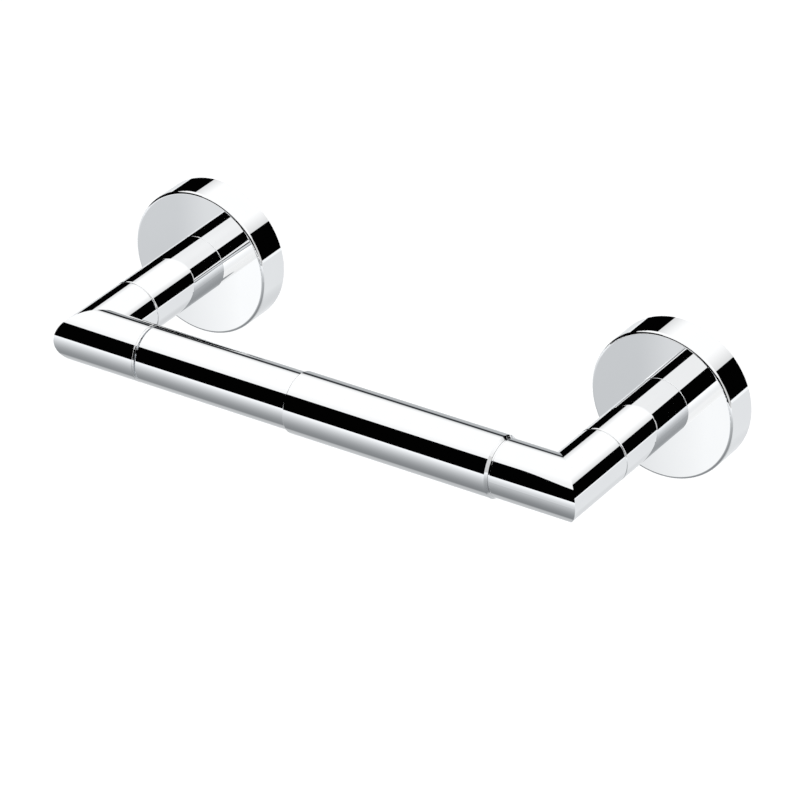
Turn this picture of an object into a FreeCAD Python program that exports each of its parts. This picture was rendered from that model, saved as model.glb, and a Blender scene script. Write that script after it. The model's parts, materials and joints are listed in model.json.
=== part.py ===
import FreeCAD, Part
import math
import os
import Sketcher

# A wall-mounted toilet paper holder: two posts on round flange covers, two mitred elbows, and a sprung
# telescoping roller between them. Millimetres. X runs along the roller, +Y goes into the wall, +Z is up.
# The origin lies on the wall plane, midway between the two post axes. Each post piece is drawn along its
# own X axis, measured out from the wall. The roller's pieces and the sockets are drawn along the roller.

DRIVING_SIZES = {
    # the two posts and what carries them
    "post_spacing": 174.0,
    "tube_diameter": 19.0,
    "flange_diameter": 50.5,
    "flange_depth": 11.7,
    "cover_side_wall": 2.2,
    "cover_face_wall": 2.4,
    "bracket_diameter": 40.0,
    "bracket_thickness": 5.0,
    "bracket_rim": 1.8,
    "bracket_undercut": 3.0,
    "bracket_bore": 18.0,
    "wall_hole_spacing": 28.0,
    "wall_hole_diameter": 4.5,
    "wall_hole_countersink": 1.2,
    "post_length": 36.6,
    "bar_reach": 69.4,
    # the elbows
    "elbow_wall": 1.5,
    "elbow_bar_leg": 20.9,
    "plug_length": 13.0,
    "socket_length": 10.0,
    "socket_rim": 0.6,
    "socket_rim_inset": 0.25,
    "socket_depth": 8.0,
    # the roller
    "roller_diameter": 20.25,
    "roller_wall": 0.57,
    "roller_chamfer": 0.45,
    "inner_wall": 0.8,
    "outer_tube_start": -8.62,
    "outer_tube_end": 65.1,
    "inner_tube_start": -64.95,
    "inner_tube_end": 22.0,
    "tip_length": 10.1,
    "collar_step": 0.075,
    "collar_length": 0.35,
    "pin_diameter": 8.0,
    "pin_play": 0.1,
    "seat_length": 8.0,
    "spring_boss_diameter": 11.0,
    "spring_boss_length": 5.0,
    "spring_diameter": 13.0,
    "spring_wire": 1.2,
    "spring_turns": 9.0,
    # fasteners, shown without their threads
    "bolt_diameter": 6.0,
    "bolt_length": 16.0,
    "bolt_head_flats": 10.0,
    "bolt_head_height": 4.0,
    "washer_diameter": 11.8,
    "washer_thickness": 1.5,
    "washer_slit": 1.0,
    "thread_play": 0.05,
    "bolt_hole_depth": 14.0,
    "stud_hold": 10.0,
    "stud_hole_depth": 12.0,
    "grub_diameter": 4.0,
    "grub_length": 5.0,
    "grub_point": 0.8,
    "grub_socket_flats": 2.0,
    "grub_socket_depth": 2.2,
    "grub_height_off_wall": 3.0,
    # the lug inside the cover that hooks over the bracket
    "lug_width": 12.0,
    "lug_thickness": 1.2,
    "lug_off_wall": 0.3,
    "lug_reach": 18.8,
    # broken edges
    "cover_edge_radius": 0.9,
    "post_end_radius": 0.5,
    "joint_edge_radius": 0.2,
    "socket_edge_radius": 0.1,
    "tube_end_radius": 0.3,
    "pin_end_chamfer": 0.6,
}

doc = FreeCAD.newDocument("toilet_paper_holder")
sheet = doc.addObject("Spreadsheet::Sheet", "Sizes")
for row, (name, number) in enumerate(DRIVING_SIZES.items(), start=1):
    sheet.set(f"A{row}", name)
    sheet.set(f"B{row}", str(number))
    sheet.setAlias(f"B{row}", name)
doc.recompute()


class Size:
    """A length with its value now and the spreadsheet expression that it follows."""

    def __init__(self, value, text=None):
        self.value = float(value)
        self.text = text if text is not None else repr(float(value))

    @staticmethod
    def of(other):
        return other if isinstance(other, Size) else Size(other)

    def __add__(self, other):
        other = Size.of(other)
        return Size(self.value + other.value, f"({self.text} + {other.text})")

    def __sub__(self, other):
        other = Size.of(other)
        return Size(self.value - other.value, f"({self.text} - {other.text})")

    def __mul__(self, factor):
        return Size(self.value * factor, f"({self.text} * {factor!r})")

    def __truediv__(self, divisor):
        return Size(self.value / divisor, f"({self.text} / {divisor!r})")

    def __neg__(self):
        return self * -1


def size(name):
    return Size(DRIVING_SIZES[name], f"Sizes.{name}")


ZERO = Size(0.0)

# Sizes that several pieces share. Distances called _at are measured out from the wall along a post.
tube_radius = size("tube_diameter") / 2
flange_radius = size("flange_diameter") / 2
elbow_bore = tube_radius - size("elbow_wall")
bolt_radius = size("bolt_diameter") / 2
tapped_radius = bolt_radius + size("thread_play")
pin_radius = size("pin_diameter") / 2
roller_radius = size("roller_diameter") / 2
roller_bore = roller_radius - size("roller_wall")
end_radius = roller_radius - size("roller_chamfer")
inner_bore = tube_radius - size("inner_wall")
boss_radius = size("spring_boss_diameter") / 2
post_end_at = size("flange_depth") + size("post_length")
washer_at = size("flange_depth") - size("cover_face_wall") - size("washer_thickness")
elbow_face = size("post_spacing") / 2 - size("elbow_bar_leg")
socket_face = elbow_face - size("socket_rim")
socket_floor = socket_face + size("socket_depth")
tip_inner_face = size("outer_tube_end") - size("tip_length")


# ---- drawing helpers ----

def new_body(label):
    body = doc.addObject("PartDesign::Body", label)
    body.Label = label
    return body


def new_sketch(body, plane, name, offset=None):
    """A sketch on one of the body's own origin planes, moved along the plane's normal by offset."""
    sketch = body.newObject("Sketcher::SketchObject", name)
    origin_plane = next(p for p in body.Origin.OriginFeatures if p.Role == plane)
    sketch.AttachmentSupport = [(origin_plane, "")]
    sketch.MapMode = "FlatFace"
    if offset is not None:
        sketch.setExpression("AttachmentOffset.Base.z", offset.text)
    return sketch


def hold(sketch, kind, geometry, point, distance):
    """Ties one coordinate of a point to a size; a zero puts the point on the sketch's own axis."""
    axis = {"DistanceX": -2, "DistanceY": -1}[kind]
    if distance.text == ZERO.text:
        sketch.addConstraint(Sketcher.Constraint("PointOnObject", geometry, point, axis))
        return
    index = sketch.addConstraint(Sketcher.Constraint(kind, geometry, point, distance.value))
    sketch.setExpression(f"Constraints[{index}]", distance.text)


def draw_lines(sketch, corners, closed=True):
    """Straight lines through the corners, each an (x, y) pair of sizes."""
    points = [FreeCAD.Vector(x.value, y.value, 0) for x, y in corners]
    ends = points[1:] + points[:1] if closed else points[1:]
    first = len(sketch.Geometry)
    sketch.addGeometry([Part.LineSegment(a, b) for a, b in zip(points, ends)])
    count = len(ends)
    for i in range(count if closed else count - 1):
        following = first + (i + 1) % count
        sketch.addConstraint(Sketcher.Constraint("Coincident", first + i, 2, following, 1))
    for i, (x, y) in enumerate(corners):
        line, end = (first + i, 1) if i < count else (first + count - 1, 2)
        hold(sketch, "DistanceX", line, end, x)
        hold(sketch, "DistanceY", line, end, y)


def draw_circle(sketch, x, y, radius):
    centre = FreeCAD.Vector(x.value, y.value, 0)
    circle = sketch.addGeometry(Part.Circle(centre, FreeCAD.Vector(0, 0, 1), radius.value))
    centre_point = 3
    hold(sketch, "DistanceX", circle, centre_point, x)
    hold(sketch, "DistanceY", circle, centre_point, y)
    index = sketch.addConstraint(Sketcher.Constraint("Radius", circle, radius.value))
    sketch.setExpression(f"Constraints[{index}]", radius.text)


def turned(label, outline):
    """A body turned about its own X axis from an outline of (along, radius) corners."""
    body = new_body(label)
    sketch = new_sketch(body, "XY_Plane", "outline")
    draw_lines(sketch, outline)
    turn = body.newObject("PartDesign::Revolution", "turn")
    turn.Profile = sketch
    turn.ReferenceAxis = (sketch, ["H_Axis"])
    turn.Angle = 360
    doc.recompute()
    return body


def add_pad(body, sketch, length):
    pad = body.newObject("PartDesign::Pad", "pad")
    pad.Profile = sketch
    pad.setExpression("Length", length.text)
    doc.recompute()


def cut_through(body, sketch):
    pocket = body.newObject("PartDesign::Pocket", "cut")
    pocket.Profile = sketch
    pocket.Type = "ThroughAll"
    pocket.Midplane = True
    doc.recompute()


def ring_edges(body, rings):
    """Names of the circular edges at the (along, radius) places given."""
    names = []
    for number, edge in enumerate(body.Tip.Shape.Edges, start=1):
        if not isinstance(edge.Curve, Part.Circle):
            continue
        for along, radius in rings:
            same_place = abs(edge.Curve.Center.x - along.value) < 1e-4
            if same_place and abs(edge.Curve.Radius - radius.value) < 1e-4:
                names.append(f"Edge{number}")
    return names


def break_edges(body, kind, amount, edges):
    """Rounds (Fillet) or bevels (Chamfer) the named edges of the body's last feature."""
    base = body.Tip
    feature = body.newObject(f"PartDesign::{kind}", kind.lower())
    feature.Base = (base, edges)
    feature.setExpression({"Fillet": "Radius", "Chamfer": "Size"}[kind], amount.text)
    doc.recompute()


def hexagon(flats):
    """The six corners of a hexagon from its width across flats."""
    half_flat = flats / 2
    corner = flats / math.sqrt(3)
    right = [(half_flat, corner / 2), (ZERO, corner), (-half_flat, corner / 2)]
    left = [(-half_flat, -corner / 2), (ZERO, -corner), (half_flat, -corner / 2)]
    return right + left


def place(item, x, y, z, axis, degrees):
    """Turns a finished piece about an axis, then moves it; the move follows the sheet."""
    item.Placement = FreeCAD.Placement(
        FreeCAD.Vector(x.value, y.value, z.value), FreeCAD.Rotation(FreeCAD.Vector(*axis), degrees)
    )
    for letter, distance in zip("xyz", (x, y, z)):
        item.setExpression(f"Placement.Base.{letter}", distance.text)


def place_on_post(item, side):
    """The piece's X axis points out from the wall along the post, and its Y axis along +X."""
    place(item, size("post_spacing") * (side / 2), ZERO, ZERO, (0, 0, 1), -90)


def place_on_bar(item, side):
    """The piece's X axis runs along the roller, outwards on the side given."""
    place(item, ZERO, -size("bar_reach"), ZERO, (0, 0, 1), 0 if side > 0 else 180)


# ---- the pieces of one post ----

def make_wall_bracket(label):
    """A disc with an undercut rim, a clear middle for the bolt's head, and two screw holes."""
    rim = size("bracket_diameter") / 2
    thickness = size("bracket_thickness")
    bore = size("bracket_bore") / 2
    undercut_end = thickness - size("bracket_rim")
    foot = rim - size("bracket_undercut")
    body = turned(label, [
        (ZERO, bore), (ZERO, foot), (undercut_end, rim), (thickness, rim), (thickness, bore),
    ])
    holes = new_sketch(body, "YZ_Plane", "screw_holes")
    for up in (1, -1):
        draw_circle(holes, ZERO, size("wall_hole_spacing") * (up / 2), size("wall_hole_diameter") / 2)
    cut_through(body, holes)
    hole_edges = ring_edges(body, [(thickness, size("wall_hole_diameter") / 2)])
    break_edges(body, "Chamfer", size("wall_hole_countersink"), hole_edges)
    return body


def make_flange_cover(label):
    """A round cup with its mouth on the wall, a hooked lug at the top and a tapped hole below."""
    depth = size("flange_depth")
    inside = flange_radius - size("cover_side_wall")
    ceiling = depth - size("cover_face_wall")
    body = turned(label, [
        (ZERO, inside), (ZERO, flange_radius), (depth, flange_radius),
        (depth, tapped_radius), (ceiling, tapped_radius), (ceiling, inside),
    ])
    break_edges(body, "Fillet", size("cover_edge_radius"), ring_edges(body, [(depth, flange_radius)]))
    lug = new_sketch(body, "YZ_Plane", "lug", size("lug_off_wall"))
    half_width = size("lug_width") / 2
    root = flange_radius - size("cover_side_wall") / 2
    draw_lines(lug, [
        (-half_width, size("lug_reach")), (half_width, size("lug_reach")),
        (half_width, root), (-half_width, root),
    ])
    add_pad(body, lug, size("lug_thickness"))
    tapped = new_sketch(body, "XY_Plane", "grub_hole")
    draw_circle(tapped, size("grub_height_off_wall"), ZERO, size("grub_diameter") / 2 + size("thread_play"))
    pocket = body.newObject("PartDesign::Pocket", "grub_pocket")
    pocket.Profile = tapped
    pocket.setExpression("Length", flange_radius.text)
    doc.recompute()
    return body


def make_set_screw(label):
    """A grub screw with a cone point and a hexagon socket; X runs from its point to its socket."""
    radius = size("grub_diameter") / 2
    length = size("grub_length")
    cone = radius - size("grub_point")
    body = turned(label, [
        (ZERO, ZERO), (ZERO, size("grub_point")), (cone, radius), (length, radius), (length, ZERO),
    ])
    socket = new_sketch(body, "YZ_Plane", "hex_socket", length)
    draw_lines(socket, hexagon(size("grub_socket_flats")))
    pocket = body.newObject("PartDesign::Pocket", "socket_pocket")
    pocket.Profile = socket
    pocket.setExpression("Length", size("grub_socket_depth").text)
    doc.recompute()
    return body


def make_post(label):
    """A solid round post, tapped at both ends."""
    start = size("flange_depth")
    back_floor = start + size("bolt_hole_depth")
    front_floor = post_end_at - size("stud_hole_depth")
    body = turned(label, [
        (start, tapped_radius), (start, tube_radius), (post_end_at, tube_radius),
        (post_end_at, tapped_radius), (front_floor, tapped_radius), (front_floor, ZERO),
        (back_floor, ZERO), (back_floor, tapped_radius),
    ])
    break_edges(body, "Fillet", size("joint_edge_radius"), ring_edges(body, [(start, tube_radius)]))
    break_edges(body, "Fillet", size("post_end_radius"), ring_edges(body, [(post_end_at, tube_radius)]))
    return body


def make_post_bolt(label):
    """A hexagon-headed bolt, its head behind the cover's face."""
    head_end = washer_at
    head_start = head_end - size("bolt_head_height")
    tip = head_end + size("bolt_length")
    body = turned(label, [
        (head_start, ZERO), (head_start, bolt_radius), (tip - size("pin_end_chamfer"), bolt_radius),
        (tip, bolt_radius - size("pin_end_chamfer")), (tip, ZERO),
    ])
    head = new_sketch(body, "YZ_Plane", "hex_head", head_start)
    draw_lines(head, hexagon(size("bolt_head_flats")))
    add_pad(body, head, size("bolt_head_height"))
    return body


def make_lock_washer(label):
    """A split spring washer between the bolt's head and the cover."""
    body = turned(label, [
        (washer_at, tapped_radius), (washer_at, size("washer_diameter") / 2),
        (washer_at + size("washer_thickness"), size("washer_diameter") / 2),
        (washer_at + size("washer_thickness"), tapped_radius),
    ])
    slit = new_sketch(body, "YZ_Plane", "slit")
    half_slit = size("washer_slit") / 2
    draw_lines(slit, [
        (-half_slit, ZERO), (half_slit, ZERO),
        (half_slit, size("washer_diameter")), (-half_slit, size("washer_diameter")),
    ])
    cut_through(body, slit)
    return body


def make_post_stud(label):
    """The headless stud that joins the post to the elbow's plug."""
    start = post_end_at - size("stud_hold")
    end = post_end_at + size("stud_hold")
    bevel = size("pin_end_chamfer")
    return turned(label, [
        (start, ZERO), (start, bolt_radius - bevel), (start + bevel, bolt_radius),
        (end - bevel, bolt_radius), (end, bolt_radius - bevel), (end, ZERO),
    ])


def make_elbow(label, side):
    """A hollow square-mitred elbow: one leg out from the post, the other towards the far post."""
    body = new_body(label)
    path = new_sketch(body, "XY_Plane", "elbow_path")
    inwards = -side
    draw_lines(path, [
        (post_end_at, ZERO), (size("bar_reach"), ZERO),
        (size("bar_reach"), size("elbow_bar_leg") * inwards),
    ], closed=False)
    section = new_sketch(body, "YZ_Plane", "tube_section", post_end_at)
    draw_circle(section, ZERO, ZERO, tube_radius)
    draw_circle(section, ZERO, ZERO, elbow_bore)
    doc.recompute()
    pipe = body.newObject("PartDesign::AdditivePipe", "mitred_tube")
    pipe.Profile = section
    pipe.Spine = (path, ["Edge1", "Edge2"])
    pipe.Transition = "Right corner"
    doc.recompute()
    break_edges(body, "Fillet", size("post_end_radius"), ring_edges(body, [(post_end_at, tube_radius)]))
    bar_end = ring_edges(body, [(size("bar_reach"), tube_radius)])
    break_edges(body, "Fillet", size("joint_edge_radius"), bar_end)
    return body


def make_elbow_plug(label):
    """The tapped plug fixed in the elbow's hollow leg, for the stud."""
    end = post_end_at + size("plug_length")
    return turned(label, [
        (post_end_at, tapped_radius), (post_end_at, elbow_bore), (end, elbow_bore), (end, tapped_radius),
    ])


def make_roller_socket(label):
    """The bush in the elbow's mouth: a thin rim a little smaller than the tube, and a blind bore."""
    bore = pin_radius + size("pin_play")
    rim_radius = tube_radius - size("socket_rim_inset")
    end = elbow_face + size("socket_length")
    body = turned(label, [
        (socket_face, bore), (socket_face, rim_radius), (elbow_face, rim_radius),
        (elbow_face, elbow_bore), (end, elbow_bore), (end, ZERO), (socket_floor, ZERO),
        (socket_floor, bore),
    ])
    rim = ring_edges(body, [(socket_face, rim_radius)])
    break_edges(body, "Fillet", size("socket_edge_radius"), rim)
    return body


# ---- the pieces of the roller, drawn along the roller's own axis with +X to the right ----

def make_outer_tube(label):
    """The right-hand half: the larger tube, bevelled at its outer end and nearly sharp at the other."""
    start, end = size("outer_tube_start"), size("outer_tube_end")
    body = turned(label, [
        (start, roller_bore), (start, roller_radius), (end, roller_radius), (end, roller_bore),
    ])
    break_edges(body, "Chamfer", size("roller_chamfer"), ring_edges(body, [(end, roller_radius)]))
    break_edges(body, "Fillet", size("joint_edge_radius"), ring_edges(body, [(start, roller_radius)]))
    return body


def make_inner_tube(label):
    """The left-hand half, which slides inside the outer tube."""
    start, end = size("inner_tube_start"), size("inner_tube_end")
    body = turned(label, [
        (start, inner_bore), (start, tube_radius), (end, tube_radius), (end, inner_bore),
    ])
    break_edges(body, "Fillet", size("tube_end_radius"), ring_edges(body, [(start, tube_radius)]))
    return body


def make_right_tip(label):
    """The plug in the outer tube's end: a spring boss inside, a bevelled collar and the pin outside."""
    end = size("outer_tube_end")
    collar_end = end + size("collar_length")
    collar_radius = end_radius - size("collar_step")
    boss_end = tip_inner_face - size("spring_boss_length")
    pin_end = socket_floor - size("tube_end_radius")
    bevel = size("pin_end_chamfer")
    return turned(label, [
        (boss_end, ZERO), (boss_end, boss_radius), (tip_inner_face, boss_radius),
        (tip_inner_face, roller_bore), (end, roller_bore), (end, collar_radius),
        (collar_end, collar_radius - size("collar_length")), (collar_end, pin_radius),
        (pin_end - bevel, pin_radius), (pin_end, pin_radius - bevel), (pin_end, ZERO),
    ])


def make_left_tip(label):
    """The plug in the inner tube's end; its pin rests on the socket's floor."""
    start = size("inner_tube_start")
    plug_end = start + size("tip_length")
    pin_end = -socket_floor + size("thread_play")
    bevel = size("pin_end_chamfer")
    return turned(label, [
        (pin_end, ZERO), (pin_end, pin_radius - bevel), (pin_end + bevel, pin_radius),
        (start, pin_radius), (start, inner_bore), (plug_end, inner_bore), (plug_end, ZERO),
    ])


def make_spring_seat(label):
    """The plug in the inner tube's far end that the spring bears on."""
    face = size("inner_tube_end")
    back = face - size("seat_length")
    boss_end = face + size("spring_boss_length")
    return turned(label, [
        (back, ZERO), (back, inner_bore), (face, inner_bore), (face, boss_radius),
        (boss_end, boss_radius), (boss_end, ZERO),
    ])


def make_spring(label):
    """The compression spring between the seat and the right-hand tip, in whole turns."""
    wire = size("spring_wire") / 2
    end_play = size("spring_wire") / 8
    start = size("inner_tube_end") + wire + end_play
    length = tip_inner_face - wire - end_play - start
    coil = doc.addObject("Part::Helix", "spring_line")
    coil.setExpression("Height", length.text)
    coil.setExpression("Pitch", (length / DRIVING_SIZES["spring_turns"]).text)
    coil.setExpression("Radius", (size("spring_diameter") / 2).text)
    section = doc.addObject("Part::Circle", "spring_wire_section")
    section.setExpression("Radius", wire.text)
    section.Placement = FreeCAD.Placement(
        FreeCAD.Vector(DRIVING_SIZES["spring_diameter"] / 2, 0, 0),
        FreeCAD.Rotation(FreeCAD.Vector(1, 0, 0), 90),
    )
    section.setExpression("Placement.Base.x", (size("spring_diameter") / 2).text)
    doc.recompute()
    spring = doc.addObject("Part::Sweep", label)
    spring.Label = label
    spring.Sections = [section]
    turns = [f"Edge{i + 1}" for i in range(len(coil.Shape.Edges))]
    spring.Spine = (coil, turns)
    spring.Solid = True
    spring.Frenet = True
    place(spring, start, -size("bar_reach"), ZERO, (0, 1, 0), 90)
    return spring


# ---- the assembly ----

nodes = []
for side_name, side in (("left", -1), ("right", 1)):
    on_post = [
        make_wall_bracket(f"{side_name}_wall_bracket"),
        make_flange_cover(f"{side_name}_flange_cover"),
        make_post(f"{side_name}_post"),
        make_post_bolt(f"{side_name}_post_bolt"),
        make_lock_washer(f"{side_name}_lock_washer"),
        make_post_stud(f"{side_name}_post_stud"),
        make_elbow(f"{side_name}_elbow", side),
        make_elbow_plug(f"{side_name}_elbow_plug"),
    ]
    for piece in on_post:
        place_on_post(piece, side)
    socket_bush = make_roller_socket(f"{side_name}_roller_socket")
    place_on_bar(socket_bush, side)
    grub = make_set_screw(f"{side_name}_set_screw")
    grub_point_at = size("bracket_diameter") / 2 + size("thread_play")
    place(grub, size("post_spacing") * (side / 2), -size("grub_height_off_wall"), -grub_point_at,
          (0, 1, 0), 90)
    nodes += on_post + [socket_bush, grub]

roller = [
    make_outer_tube("roller_outer_tube"),
    make_inner_tube("roller_inner_tube"),
    make_right_tip("roller_right_tip"),
    make_left_tip("roller_left_tip"),
    make_spring_seat("roller_spring_seat"),
]
for piece in roller:
    place_on_bar(piece, 1)
nodes += roller + [make_spring("roller_spring")]

doc.recompute()
failed = [item.Label for item in doc.Objects if "Invalid" in item.State or "Error" in item.State]
if failed:
    raise RuntimeError(f"not built: {failed}")

os.makedirs("parts", exist_ok=True)
for node in nodes:
    shape = node.Shape
    if shape.isNull() or not shape.isValid() or len(shape.Solids) != 1:
        raise RuntimeError(f"{node.Label} is not one valid solid")
    shape.exportStep(f"parts/{node.Label}.step")
    print(f"{node.Label:24s} {shape.Volume:10.1f} mm3")
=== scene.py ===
"""Toilet paper holder: materials, spring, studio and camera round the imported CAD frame, in metres."""

import json
import math

import bpy
from mathutils import Matrix, Vector


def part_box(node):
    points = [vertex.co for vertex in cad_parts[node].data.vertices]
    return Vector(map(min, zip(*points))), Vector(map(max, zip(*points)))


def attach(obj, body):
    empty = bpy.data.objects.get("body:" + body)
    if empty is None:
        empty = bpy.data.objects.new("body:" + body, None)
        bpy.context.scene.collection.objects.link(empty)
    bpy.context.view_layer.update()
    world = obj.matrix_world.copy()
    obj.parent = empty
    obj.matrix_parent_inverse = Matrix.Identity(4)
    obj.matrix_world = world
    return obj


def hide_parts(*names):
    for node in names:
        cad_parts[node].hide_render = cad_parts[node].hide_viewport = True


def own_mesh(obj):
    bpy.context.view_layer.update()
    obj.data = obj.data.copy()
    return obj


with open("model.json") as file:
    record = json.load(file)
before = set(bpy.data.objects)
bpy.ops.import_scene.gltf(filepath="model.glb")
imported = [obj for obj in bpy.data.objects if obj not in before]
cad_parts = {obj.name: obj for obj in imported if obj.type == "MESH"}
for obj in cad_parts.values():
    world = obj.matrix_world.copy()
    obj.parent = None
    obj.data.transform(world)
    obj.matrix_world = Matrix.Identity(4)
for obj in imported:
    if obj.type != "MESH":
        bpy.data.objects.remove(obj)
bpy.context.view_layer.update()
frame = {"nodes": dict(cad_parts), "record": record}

# ------------------------------------------------------------------------------------------- camera
VIEW_AZIMUTH = math.radians(33.149)
VIEW_ELEVATION = math.radians(29.930)
VIEW_ROLL = math.radians(-0.416)
VIEW_DISTANCE = 1.5606
LENS_MM = 223.72
AIM_POINT = Vector((0.0, -0.034713, 0.0))
AIM_RIGHT = -0.00474  # where the aim point lies from the middle of the picture, across it and up it
AIM_UP = 0.01165
SENSOR_WIDTH_MM = 36.0
CLIP_NEAR = 0.05
CLIP_FAR = 60.0

# ------------------------------------------------------------------------------------------- studio
FLOOR_HEIGHT = -1.2
FLOOR_SIZE = 30.0
PALE = 1.0  # what the camera sees behind the floor's far edge
CHROME_TINT = (0.935, 0.939, 0.943)
DISPLAY_GAMMA = 2.2  # fades run evenly as seen on a display, not in linear light
FLAG_BLACK = 0.0006
RIGHT_GAP_LOW = 205  # brightness seen in the chrome between the flags at the right, low down and high up
RIGHT_GAP_HIGH = 215
LEFT_FLAG_TOP = (0.53, -0.18)  # a flag edge's height where y is 0, and how much it rises towards the wall
OTHER_FLAG_TOP = (0.447, -0.070)
FLAG_FOOT = (-0.129, 0.022)
EDGE = 0.003  # how far the studio's hard edges fade, in direction
PANEL_WARMTH = (1.0, 0.985, 0.965, 1.0)
FACE_PANEL_DISTANCE = 0.25  # from a flange's face to the small panel that it mirrors
FACE_PANEL_HALF = 0.040
POST_TILT = math.radians(43.54)  # how far the post leans, as the camera sees it against the flange's face
FRONT_PANEL_MIDDLE = Vector((0.06, -1.2, -0.70))
FRONT_PANEL_HALF_WIDTH = 1.1
FRONT_PANEL_HALF_HEIGHT = 0.45
MIRROR_BOUNCES = 32  # light crosses the narrow gaps between mirror faces many times

# ------------------------------------------------------------------------------------------- spring
SPRING_WIRE = 0.0012
SPRING_END_TURNS = 1.0  # closed turns at each end
SPRING_OPEN_TURNS = 7.0
CLOSED_PITCH = 1.02  # of the wire's thickness, so that closed turns don't touch
STEPS_PER_TURN = 40
WIRE_SIDES = 12


def linear(tone):
    """Linear light for a display tone from 0 to 255."""
    v = tone / 255.0
    return v / 12.92 if v <= 0.04045 else ((v + 0.055) / 1.055) ** 2.4


class Nodes:
    """Adds nodes to one tree. A value is a number, a vector or another node's socket."""

    def __init__(self, tree):
        self.tree = tree
        tree.nodes.clear()

    def add(self, kind, **settings):
        node = self.tree.nodes.new("ShaderNode" + kind)
        for name, value in settings.items():
            setattr(node, name, value)
        return node

    def put(self, socket, value):
        if isinstance(value, bpy.types.NodeSocket):
            self.tree.links.new(value, socket)
        else:
            socket.default_value = value

    def math(self, operation, *values):
        node = self.add("Math", operation=operation)
        for socket, value in zip(node.inputs, values):
            self.put(socket, value)
        return node.outputs[0]

    def pick(self, mask, inside, outside):
        """A number: inside where mask is 1, outside where it is 0."""
        return self.math(
            "ADD",
            self.math("MULTIPLY", mask, inside),
            self.math("MULTIPLY", self.math("SUBTRACT", 1.0, mask), outside),
        )

    def remap(self, value, low, high, to_low=0.0, to_high=1.0, kind="SMOOTHSTEP"):
        node = self.add("MapRange", interpolation_type=kind)
        for socket, v in zip(node.inputs, (value, low, high, to_low, to_high)):
            self.put(socket, v)
        return node.outputs[0]

    def ramp(self, factor, stops, kind="LINEAR"):
        """stops is {place from 0 to 1: colour}."""
        node = self.add("ValToRGB")
        node.color_ramp.interpolation = kind
        elements = node.color_ramp.elements
        while len(elements) < len(stops):
            elements.new(0.5)
        for element, place in zip(elements, sorted(stops)):
            element.position = place
        for element, place in zip(elements, sorted(stops)):
            element.color = (*stops[place], 1.0)
        self.put(node.inputs[0], factor)
        return node.outputs[0]

    def mix(self, factor, a, b):
        node = self.add("Mix", data_type="RGBA")
        self.put(node.inputs["Factor"], factor)
        self.put([s for s in node.inputs if s.name == "A" and s.type == "RGBA"][0], a)
        self.put([s for s in node.inputs if s.name == "B" and s.type == "RGBA"][0], b)
        return [s for s in node.outputs if s.type == "RGBA"][0]

    def place(self, scale=(1, 1, 1)):
        """Points on the piece in metres, stretched by scale."""
        mapping = self.add("Mapping")
        self.put(mapping.inputs["Vector"], self.add("TexCoord").outputs["Object"])
        self.put(mapping.inputs["Scale"], scale)
        return mapping.outputs[0]

    def noise(self, vector, scale, detail=2.0, roughness=0.5):
        node = self.add("TexNoise")
        self.put(node.inputs["Vector"], vector)
        self.put(node.inputs["Scale"], scale)
        self.put(node.inputs["Detail"], detail)
        self.put(node.inputs["Roughness"], roughness)
        return node.outputs["Fac"]

    def bump(self, height, strength, distance):
        node = self.add("Bump")
        self.put(node.inputs["Height"], height)
        self.put(node.inputs["Strength"], strength)
        self.put(node.inputs["Distance"], distance)
        return node.outputs[0]

    def surface(self, **sockets):
        """Finishes a material: a Principled shader with these sockets, named with _ for a space."""
        shader = self.add("BsdfPrincipled")
        for name, value in sockets.items():
            self.put(shader.inputs[name.replace("_", " ")], value)
        output = self.add("OutputMaterial")
        self.put(output.inputs["Surface"], shader.outputs[0])


def new_material(name):
    material = bpy.data.materials.new(name)
    material.use_nodes = True
    return material, Nodes(material.node_tree)


def grey(value):
    return (value, value, value)


def solid_grey(value):
    """The same with the fourth number that a colour socket takes."""
    return (value, value, value, 1.0)


# ---------------------------------------------------------------------------------------- materials
def polished_chrome():
    """Mirror plating: faint wiping haze and hairlines over a nearly perfect mirror."""
    material, n = new_material("polished_chrome")
    haze = n.noise(n.place(), 55.0, 3.0, 0.55)
    hairlines = n.noise(n.place((1.0, 6.0, 6.0)), 700.0, 2.0, 0.6)
    low = tuple(0.985 * c for c in CHROME_TINT)
    n.surface(
        Base_Color=n.ramp(haze, {0.3: low, 0.7: CHROME_TINT}),
        Metallic=1.0,
        Roughness=n.remap(haze, 0.3, 0.75, 0.005, 0.014),
        Normal=n.bump(hairlines, 0.01, 0.00001),
    )
    return material


def zinc_plate():
    """Dull zinc plating: soft blue-grey and warm patches, fine grain."""
    material, n = new_material("zinc_plated_bracket")
    patches = n.noise(n.place(), 160.0, 4.0, 0.6)
    grain = n.noise(n.place(), 1800.0, 2.0, 0.5)
    n.surface(
        Base_Color=n.ramp(patches, {
            0.3: (0.50, 0.52, 0.55),
            0.55: (0.62, 0.63, 0.62),
            0.8: (0.66, 0.64, 0.56),
        }),
        Metallic=1.0,
        Roughness=n.remap(patches, 0.3, 0.8, 0.30, 0.48),
        Normal=n.bump(grain, 0.25, 0.00004),
    )
    return material


def steel():
    """Plain plated steel of the bolts, washers, studs and set screws."""
    material, n = new_material("steel_fasteners")
    patches = n.noise(n.place(), 400.0, 3.0, 0.6)
    grain = n.noise(n.place(), 3500.0, 2.0, 0.5)
    n.surface(
        Base_Color=n.ramp(patches, {0.3: (0.40, 0.41, 0.43), 0.7: (0.56, 0.57, 0.58)}),
        Metallic=1.0,
        Roughness=n.remap(patches, 0.3, 0.8, 0.24, 0.42),
        Normal=n.bump(grain, 0.2, 0.00003),
    )
    return material


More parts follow.
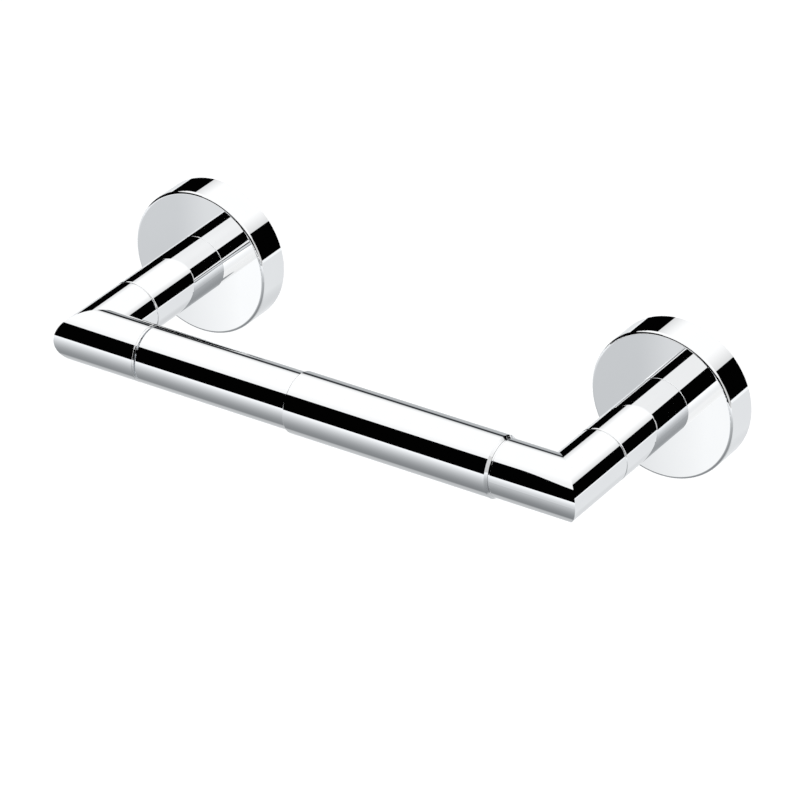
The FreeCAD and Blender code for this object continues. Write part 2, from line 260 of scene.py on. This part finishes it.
def brass():
    """Machined brass with turning lines round the elbow's end."""
    material, n = new_material("brass_plug")
    patches = n.noise(n.place(), 300.0, 3.0, 0.6)
    lines = n.noise(n.place((0.05, 1.0, 0.05)), 6000.0, 1.0, 0.5)
    n.surface(
        Base_Color=n.ramp(patches, {0.3: (0.66, 0.47, 0.20), 0.7: (0.82, 0.64, 0.33)}),
        Metallic=1.0,
        Roughness=n.remap(patches, 0.3, 0.8, 0.20, 0.36),
        Normal=n.bump(lines, 0.3, 0.00003),
    )
    return material


def nylon():
    """Moulded nylon, off-white and waxy."""
    material, n = new_material("nylon_seat")
    cloud = n.noise(n.place(), 250.0, 3.0, 0.5)
    grain = n.noise(n.place(), 2500.0, 2.0, 0.5)
    n.surface(
        Base_Color=n.ramp(cloud, {0.3: (0.74, 0.72, 0.66), 0.7: (0.83, 0.81, 0.76)}),
        Roughness=n.remap(cloud, 0.3, 0.8, 0.38, 0.5),
        Subsurface_Weight=0.15,
        Subsurface_Radius=(0.002, 0.002, 0.0015),
        Normal=n.bump(grain, 0.15, 0.00004),
    )
    return material


def spring_steel():
    """Drawn spring wire, dark and slightly oily."""
    material, n = new_material("spring_steel")
    patches = n.noise(n.place(), 500.0, 3.0, 0.6)
    n.surface(
        Base_Color=n.ramp(patches, {0.3: (0.16, 0.165, 0.18), 0.7: (0.34, 0.35, 0.37)}),
        Metallic=1.0,
        Roughness=n.remap(patches, 0.3, 0.8, 0.22, 0.38),
        Normal=n.bump(n.noise(n.place((0.2, 1.0, 1.0)), 4000.0), 0.2, 0.00003),
    )
    return material


MATERIALS = {
    "polished_chrome": polished_chrome(),
    "zinc_plated_bracket": zinc_plate(),
    "steel_fasteners": steel(),
    "brass_plug": brass(),
    "nylon_seat": nylon(),
    "spring_steel": spring_steel(),
}

for part in frame["record"]["subparts"]:
    for slot in frame["nodes"][part["node"]].material_slots:
        slot.material = MATERIALS[part["material_slot"]]


# ------------------------------------------------------------------------------------------- spring
def tube_along(name, centres, radius, sides, material):
    """A round wire through these centres, with flat ends."""
    points, faces = [], []
    for i, centre in enumerate(centres):
        ahead = (centres[min(i + 1, len(centres) - 1)] - centres[max(i - 1, 0)]).normalized()
        across = ahead.cross(Vector((1, 0, 0))).normalized()
        up = across.cross(ahead)
        for k in range(sides):
            turn = 2 * math.pi * k / sides
            points.append(centre + radius * (math.cos(turn) * across + math.sin(turn) * up))
    for i in range(len(centres) - 1):
        for k in range(sides):
            a, b = i * sides + k, i * sides + (k + 1) % sides
            faces.append((a, b, b + sides, a + sides))
    last = (len(centres) - 1) * sides
    faces.append(tuple(reversed(range(sides))))
    faces.append(tuple(range(last, last + sides)))
    mesh = bpy.data.meshes.new(name)
    mesh.from_pydata(points, [], faces)
    for polygon in mesh.polygons:
        polygon.use_smooth = len(polygon.vertices) == 4
    mesh.materials.append(material)
    piece = bpy.data.objects.new(name, mesh)
    bpy.context.scene.collection.objects.link(piece)
    return piece


def coil_spring():
    """A compression spring with closed ends, as long and wide as the CAD spring that it replaces."""
    low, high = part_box("roller_spring")
    middle = (low + high) / 2
    coil_radius = (high.z - low.z) / 2 - SPRING_WIRE / 2
    turns = SPRING_OPEN_TURNS + 2 * SPRING_END_TURNS
    closed = SPRING_END_TURNS * SPRING_WIRE * CLOSED_PITCH
    start = low.x + SPRING_WIRE / 2
    length = high.x - low.x - SPRING_WIRE
    centres = []
    for i in range(int(turns * STEPS_PER_TURN) + 1):
        turn = i / STEPS_PER_TURN
        if turn < SPRING_END_TURNS:
            along = closed * turn / SPRING_END_TURNS
        elif turn > turns - SPRING_END_TURNS:
            along = length - closed * (turns - turn) / SPRING_END_TURNS
        else:
            along = closed + (length - 2 * closed) * (turn - SPRING_END_TURNS) / SPRING_OPEN_TURNS
        angle = 2 * math.pi * turn
        centres.append(Vector((
            start + along,
            middle.y + coil_radius * math.cos(angle),
            middle.z + coil_radius * math.sin(angle),
        )))
    piece = tube_along("coil_spring", centres, SPRING_WIRE / 2, WIRE_SIDES, MATERIALS["spring_steel"])
    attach(piece, "roller_outer")
    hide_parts("roller_spring")
    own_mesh(piece)


coil_spring()


# ------------------------------------------------------------------------------------------- studio
def make_floor():
    """A plain pale floor well below the holder, which hangs on a wall that isn't shown."""
    half = FLOOR_SIZE / 2
    mesh = bpy.data.meshes.new("floor")
    corners = [(-half, -half, 0), (half, -half, 0), (half, half, 0), (-half, half, 0)]
    mesh.from_pydata(corners, [], [(0, 1, 2, 3)])
    material, n = new_material("pale_floor")
    cloud = n.noise(n.place(), 0.8, 3.0, 0.5)
    n.surface(
        Base_Color=n.ramp(cloud, {0.3: grey(0.90), 0.7: grey(0.92)}),
        Roughness=0.8,
        Emission_Color=(1.0, 1.0, 1.0, 1.0),
        Emission_Strength=0.30,
    )
    mesh.materials.append(material)
    floor = bpy.data.objects.new("floor", mesh)
    floor.location.z = FLOOR_HEIGHT
    floor.visible_glossy = False  # the metal reflects the studio, not this sheet
    bpy.context.scene.collection.objects.link(floor)


def make_world():
    """The studio round the holder: a white ceiling, a black band of flags at eye level and a pale ground.

    The direction's z is the height: 1 overhead, -1 underfoot. y is 1 towards the wall and -1 towards the
    room, x is 1 to the right and -1 to the left.
    """
    world = bpy.data.worlds.new("studio")
    bpy.context.scene.world = world
    world.use_nodes = True
    n = Nodes(world.node_tree)
    split = n.add("SeparateXYZ")
    n.put(split.inputs[0], n.add("TexCoord").outputs["Generated"])
    x, y, z = split.outputs

    def tones(table, cool):
        """The studio's brightness at a few heights, as the chrome shows it from 0 to 255, even in between."""
        low = min(table)
        high = max(table)
        stops = {}
        for height, tone in table.items():
            shades = (tone - 0.5 * cool, tone, tone + 0.5 * cool)
            stops[(height - low) / (high - low)] = tuple(
                (linear(shade) / tint) ** (1 / DISPLAY_GAMMA) for shade, tint in zip(shades, CHROME_TINT))
        gamma = n.add("Gamma")
        n.put(gamma.inputs["Color"], n.ramp(n.remap(z, low, high, kind="LINEAR"), stops))
        n.put(gamma.inputs["Gamma"], DISPLAY_GAMMA)
        return gamma.outputs[0]

    # overhead: white, fading to a light grey just over the flags
    front_sky = tones({0.65: 246, 0.80: 257}, cool=2.0)
    back_sky = tones({0.38: 218, 0.57: 257}, cool=2.0)
    sky = n.mix(n.remap(y, -0.3, 0.3), front_sky, back_sky)

    # underfoot: mid grey straight below, fading to white at the flags' feet
    left_ground = tones({-0.90: 130, -0.20: 252}, cool=6.0)
    right_ground = tones({-0.90: 130, -0.50: 175, -0.18: 248}, cool=6.0)
    # towards the wall: light grey, with a step to nearly white at the flags' feet
    wall_foot = tones({-0.82: 190, -0.62: 227, -0.17: 227, -0.15: 249}, cool=5.0)
    ground = n.mix(n.remap(x, -0.4, 0.1), left_ground, right_ground)
    ground = n.mix(n.remap(y, -0.05, 0.13), ground, wall_foot)

    # the black flags stand higher at the front left, and leave a gap at the right
    def edge(height, rise):
        return n.math("MULTIPLY_ADD", y, rise, height)

    band_top = n.pick(n.remap(x, -0.438, -0.450), edge(*LEFT_FLAG_TOP), edge(*OTHER_FLAG_TOP))
    band_foot = edge(*FLAG_FOOT)
    right_gap = n.mix(
        n.remap(z, -0.1, 0.4),
        solid_grey(linear(RIGHT_GAP_LOW) / CHROME_TINT[1]),
        solid_grey(linear(RIGHT_GAP_HIGH) / CHROME_TINT[1]),
    )
    flags = n.mix(n.remap(x, 0.80, 0.83), solid_grey(FLAG_BLACK), right_gap)
    seen = n.mix(n.remap(n.math("SUBTRACT", z, band_top), -EDGE, EDGE), flags, sky)
    seen = n.mix(n.remap(n.math("SUBTRACT", band_foot, z), -EDGE, EDGE), seen, ground)

    # straight behind the holder: a grey card with one dark strip near its top
    backdrop = tones({-0.45: 228, -0.10: 178, 0.14: 186, 0.25: 45, 0.33: 45, 0.42: 220}, cool=6.0)
    behind = n.math("MULTIPLY", n.remap(y, 0.76, 0.82), n.remap(y, 0.92, 0.89))
    behind = n.math("MULTIPLY", behind, n.remap(z, 0.42, 0.38))
    behind = n.math("MULTIPLY", behind, n.remap(x, 0.15, -0.05))
    seen = n.mix(behind, seen, backdrop)

    reflected = n.add("Background")
    n.put(reflected.inputs["Color"], seen)
    pale = n.add("Background")
    n.put(pale.inputs["Color"], solid_grey(PALE))
    choose = n.add("MixShader")
    n.put(choose.inputs[0], n.add("LightPath").outputs["Is Camera Ray"])
    n.put(choose.inputs[1], reflected.outputs[0])
    n.put(choose.inputs[2], pale.outputs[0])
    n.put(n.add("OutputWorld").inputs[0], choose.outputs[0])


def panel(name, middle, half_width, half_height, light, receivers):
    """A see-through glowing panel facing the wall. Only the pieces named in receivers pick up its light.

    light(n, x, z) gives its brightness from the distances across and up from its middle.
    """
    mesh = bpy.data.meshes.new(name)
    w, h = half_width, half_height
    mesh.from_pydata([(-w, 0, -h), (w, 0, -h), (w, 0, h), (-w, 0, h)], [], [(0, 1, 2, 3)])
    material, n = new_material(name)
    split = n.add("SeparateXYZ")
    n.put(split.inputs[0], n.add("TexCoord").outputs["Object"])
    glow = n.add("Emission")
    n.put(glow.inputs["Color"], PANEL_WARMTH)
    n.put(glow.inputs["Strength"], light(n, split.outputs[0], split.outputs[2]))
    both = n.add("AddShader")
    n.put(both.inputs[0], n.add("BsdfTransparent").outputs[0])
    n.put(both.inputs[1], glow.outputs[0])
    n.put(n.add("OutputMaterial").inputs["Surface"], both.outputs[0])
    mesh.materials.append(material)
    piece = bpy.data.objects.new(name, mesh)
    piece.location = middle
    piece.visible_camera = False
    piece.visible_diffuse = False
    piece.visible_shadow = False
    lit = bpy.data.collections.new(name + "_lights")
    for node in receivers:
        lit.objects.link(frame["nodes"][node])
    piece.light_linking.receiver_collection = lit
    bpy.context.scene.collection.objects.link(piece)


def face_light(grown):
    """The brightness of a face panel, which the mirror shows grown times as far off as the face."""
    def light(n, across, up):
        across = n.math("DIVIDE", across, grown)
        up = n.math("DIVIDE", up, grown)
        below_post = n.math(
            "SUBTRACT",
            n.math("MULTIPLY", across, math.cos(POST_TILT)),
            n.math("MULTIPLY", up, math.sin(POST_TILT)),
        )
        below = n.remap(across, -0.016, 0.016, 0.18, 0.41, kind="LINEAR")
        above = n.remap(across, -0.010, 0.006, 0.0, 0.12)
        total = n.pick(n.remap(below_post, -0.002, 0.002), below, above)
        spread = n.math("ADD", n.math("MULTIPLY", across, across), n.math("MULTIPLY", up, up))
        return n.math("MULTIPLY", total, n.remap(n.math("SQRT", spread), 0.034, 0.027))

    return light


def make_face_panels():
    """One small panel for each flange, whose face mirrors it: bright below the post, fading above."""
    eye = bpy.context.scene.camera.location
    for side in ("left", "right"):
        cover = side + "_flange_cover"
        low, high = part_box(cover)
        face = Vector(((low.x + high.x) / 2, low.y, 0.0))
        sight = face - eye
        ray = sight.normalized()
        ray.y = -ray.y
        light = face_light(1 + FACE_PANEL_DISTANCE / sight.length)
        middle = face + FACE_PANEL_DISTANCE * ray
        panel(side + "_face_panel", middle, FACE_PANEL_HALF, FACE_PANEL_HALF, light, [cover])


def make_front_panel():
    """A broad panel in front, below eye level, which whitens the undersides of the posts."""
    def light(n, across, up):
        place = n.remap(across, -FRONT_PANEL_HALF_WIDTH, FRONT_PANEL_HALF_WIDTH, kind="LINEAR")
        return n.ramp(place, {0.0: grey(0.40), 0.5: grey(0.66), 0.75: grey(0.62), 1.0: grey(0.22)})

    posts = ["left_post", "right_post"]
    panel("front_panel", FRONT_PANEL_MIDDLE, FRONT_PANEL_HALF_WIDTH, FRONT_PANEL_HALF_HEIGHT, light, posts)


def make_camera():
    """The camera from its direction, distance and lens."""
    back = Vector((
        math.sin(VIEW_AZIMUTH) * math.cos(VIEW_ELEVATION),
        -math.cos(VIEW_AZIMUTH) * math.cos(VIEW_ELEVATION),
        math.sin(VIEW_ELEVATION),
    ))
    level = Vector((math.cos(VIEW_AZIMUTH), math.sin(VIEW_AZIMUTH), 0.0))
    upright = back.cross(level)
    right = math.cos(VIEW_ROLL) * level + math.sin(VIEW_ROLL) * upright
    up = back.cross(right)
    data = bpy.data.cameras.new("camera")
    data.lens = LENS_MM
    data.sensor_width = SENSOR_WIDTH_MM
    data.clip_start = CLIP_NEAR
    data.clip_end = CLIP_FAR
    camera = bpy.data.objects.new("camera", data)
    turn = Matrix((right, up, back)).transposed().to_4x4()
    place = AIM_POINT + back * VIEW_DISTANCE - right * AIM_RIGHT - up * AIM_UP
    camera.matrix_world = Matrix.Translation(place) @ turn
    bpy.context.scene.collection.objects.link(camera)
    bpy.context.scene.camera = camera


make_floor()
make_world()
make_camera()
make_face_panels()
make_front_panel()
bpy.context.scene.view_settings.view_transform = "Standard"
bpy.context.scene.cycles.max_bounces = MIRROR_BOUNCES
bpy.context.scene.cycles.glossy_bounces = MIRROR_BOUNCES
